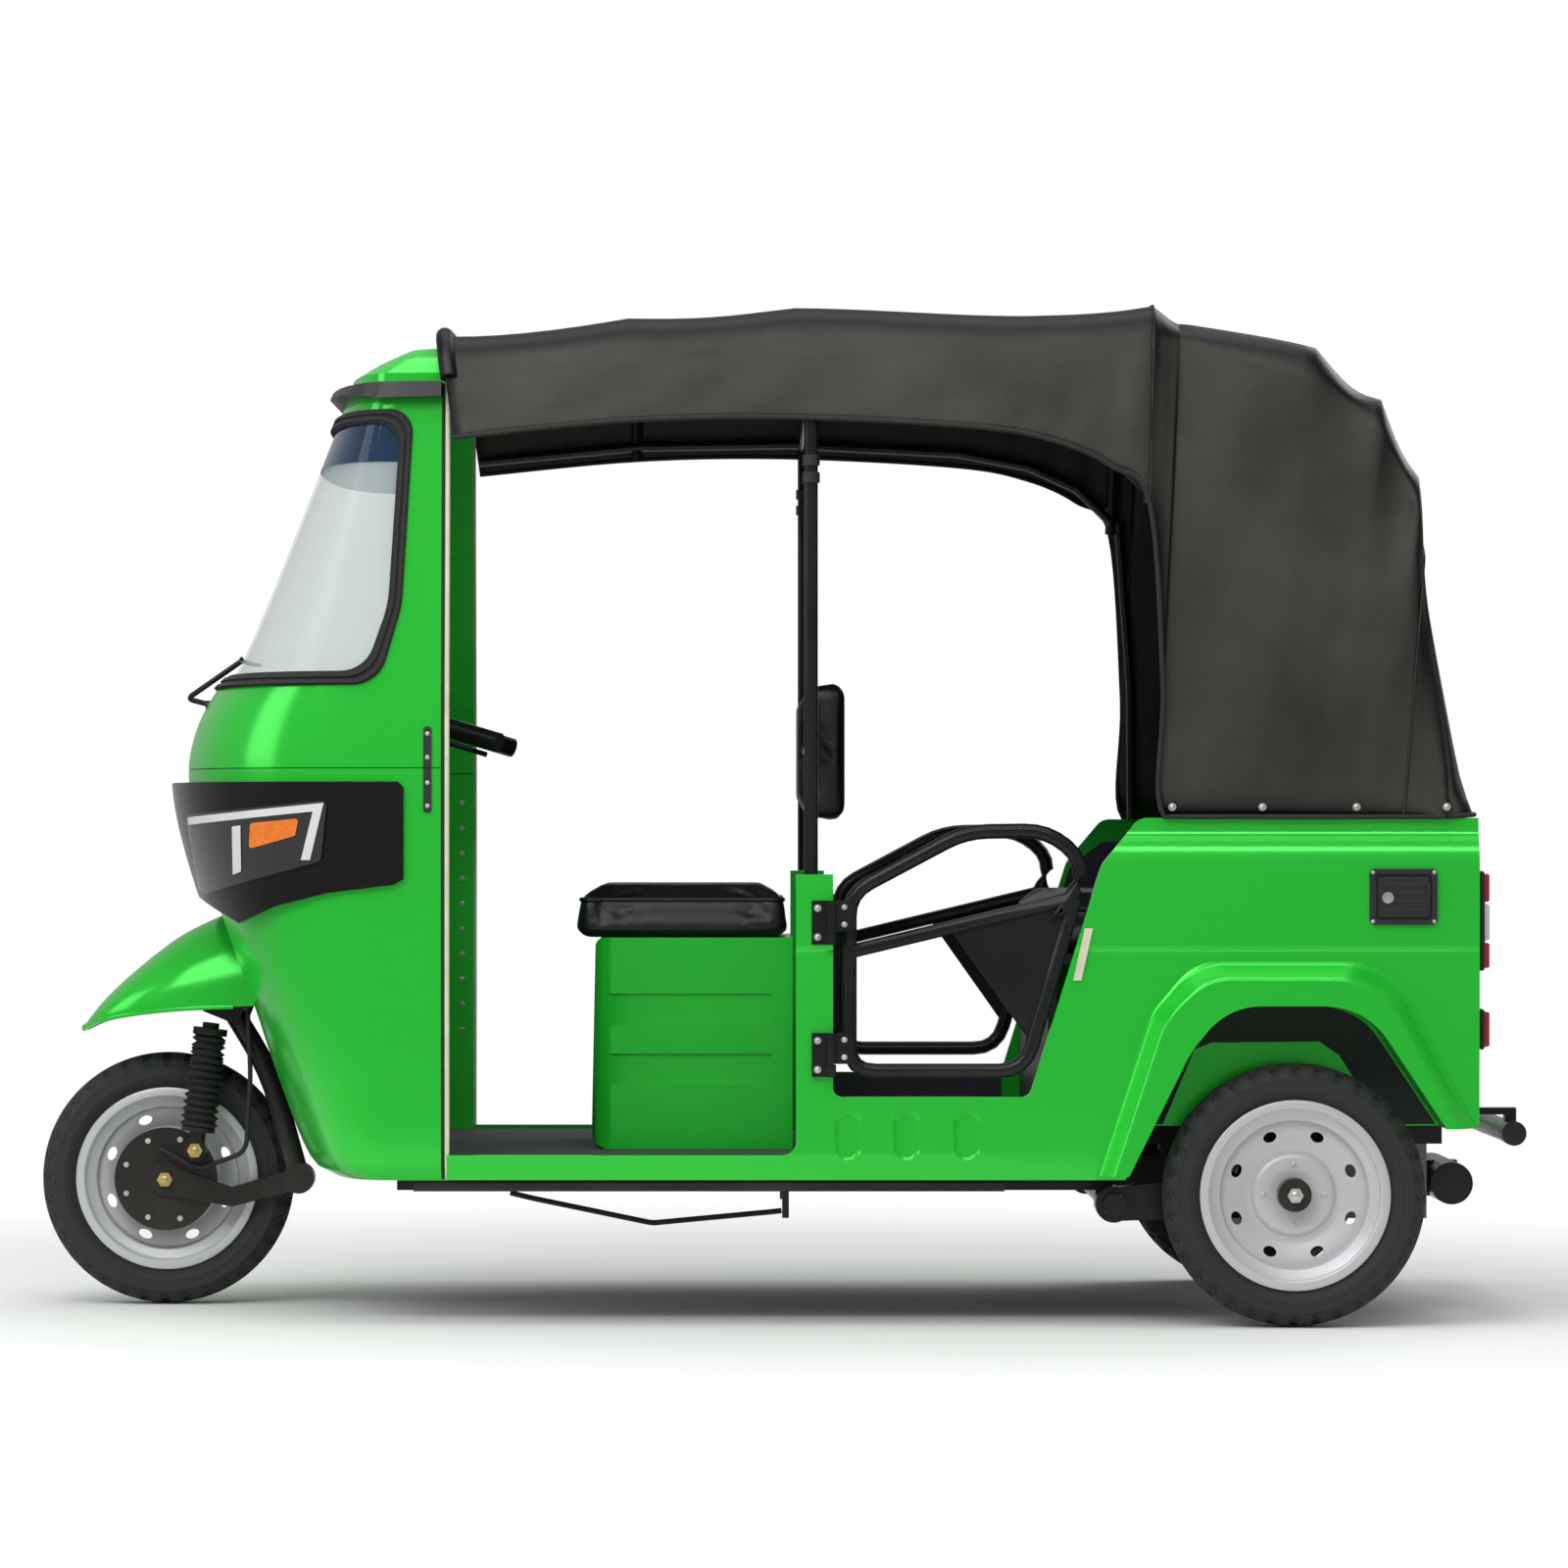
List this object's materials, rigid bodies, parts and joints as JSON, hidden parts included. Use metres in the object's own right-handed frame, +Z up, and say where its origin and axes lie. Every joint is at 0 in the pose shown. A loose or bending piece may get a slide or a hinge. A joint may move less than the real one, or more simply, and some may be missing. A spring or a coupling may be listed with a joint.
{
  "type": "three-wheeled passenger taxi",
  "caption": "Covered motor tricycle taxi with a wrap-round windscreen, single steered front wheel, driver's seat, rear bench, tubular side doors and a fabric hood over bows.",
  "frame": {"origin": "on the ground under the middle of the bounding box", "axes": "+X forward, +Y to the vehicle's left, +Z up"},
  "size_m": [2.644, 1.3, 1.786],
  "materials": {
    "green_paint": "gloss",
    "black_paint": "gloss",
    "black_plastic": "satin",
    "floor_mat": "matte",
    "seat_vinyl": "satin",
    "hood_vinyl": "satin",
    "seal_rubber": "matte",
    "tyre_rubber": "matte",
    "wheel_silver": "satin",
    "screen_glass": "gloss",
    "lamp_lens": "gloss",
    "lamp_red": "gloss",
    "engine_metal": "satin"
  },
  "bodies": {
    "chassis": {"underframe": "black_paint", "floor_pan": "floor_mat", "front_cowl_lower": "green_paint", "front_cowl_upper": "green_paint", "steering_tunnel": "black_paint", "instrument_panel": "black_plastic", "roof_header": "green_paint", "sun_visor": "black_plastic", "windscreen_glass": "screen_glass", "windscreen_seal": "seal_rubber", "headlamp_mask": "black_plastic", "headlamps": "lamp_lens", "front_mudguard": "green_paint", "wiper": "black_paint", "body_side_left": "green_paint", "body_side_right": "green_paint", "tail_panel": "green_paint", "wheelhouses": "green_paint", "quarter_trim": "black_plastic", "seat_bulkhead": "black_plastic", "driver_seat_box": "green_paint", "driver_cushion": "seat_vinyl", "driver_backrest": "seat_vinyl", "bench_cushion": "seat_vinyl", "bench_backrest": "seat_vinyl", "roof_frame": "black_paint", "canopy": "hood_vinyl", "hinge_leaves": "black_paint", "filler_bezel": "black_plastic", "tail_lamps": "lamp_red", "rear_bumper": "black_paint", "engine_block": "engine_metal", "exhaust_silencer": "engine_metal", "trailing_arms": "black_paint", "rear_shocks": "black_paint", "control_cable": "seal_rubber"},
    "steering": {"steering_stem": "black_paint", "handlebar": "black_paint", "front_link": "black_paint", "front_shock": "black_paint", "brake_hose": "seal_rubber"},
    "front_wheel": {"front_rim": "wheel_silver", "front_tyre": "tyre_rubber"},
    "rear_wheel_left": {"rear_rim_left": "wheel_silver", "rear_tyre_left": "tyre_rubber", "rear_hub_left": "black_paint"},
    "rear_wheel_right": {"rear_rim_right": "wheel_silver", "rear_tyre_right": "tyre_rubber", "rear_hub_right": "black_paint"},
    "left_door": {"door_left": "black_paint"},
    "right_door": {"door_right": "black_paint"},
    "filler_flap": {"filler_lid": "black_plastic"},
    "rear_hatch": {"engine_hatch": "green_paint"}
  },
  "joints": [
    {"name": "steering_turn", "type": "hinge", "parent": "chassis", "child": "steering", "pos_m": [1.11, 0, 0.228], "axis": [-0.3746, 0, 0.9272], "range_deg": [-38, 38]},
    {"name": "front_wheel_spin", "type": "hinge", "parent": "steering", "child": "front_wheel", "pos_m": [1.094, 0, 0.228], "axis": [0, 1, 0], "continuous": true},
    {"name": "rear_left_spin", "type": "hinge", "parent": "chassis", "child": "rear_wheel_left", "pos_m": [-0.906, 0.575, 0.228], "axis": [0, 1, 0], "continuous": true},
    {"name": "rear_right_spin", "type": "hinge", "parent": "chassis", "child": "rear_wheel_right", "pos_m": [-0.906, -0.575, 0.228], "axis": [0, 1, 0], "continuous": true},
    {"name": "left_door_hinge", "type": "hinge", "parent": "chassis", "child": "left_door", "pos_m": [-0.104, 0.63, 0.471], "axis": [0, 0, -1], "range_deg": [0, 95]},
    {"name": "right_door_hinge", "type": "hinge", "parent": "chassis", "child": "right_door", "pos_m": [-0.104, -0.63, 0.471], "axis": [0, 0, 1], "range_deg": [0, 95]},
    {"name": "filler_flap_hinge", "type": "hinge", "parent": "chassis", "child": "filler_flap", "pos_m": [-1.136, 0.625, 0.745], "axis": [0, 0, 1], "range_deg": [0, 100]},
    {"name": "rear_hatch_hinge", "type": "hinge", "parent": "chassis", "child": "rear_hatch", "pos_m": [-1.237, 0, 0.792], "axis": [0, 1, 0], "range_deg": [0, 75]}
  ]
}
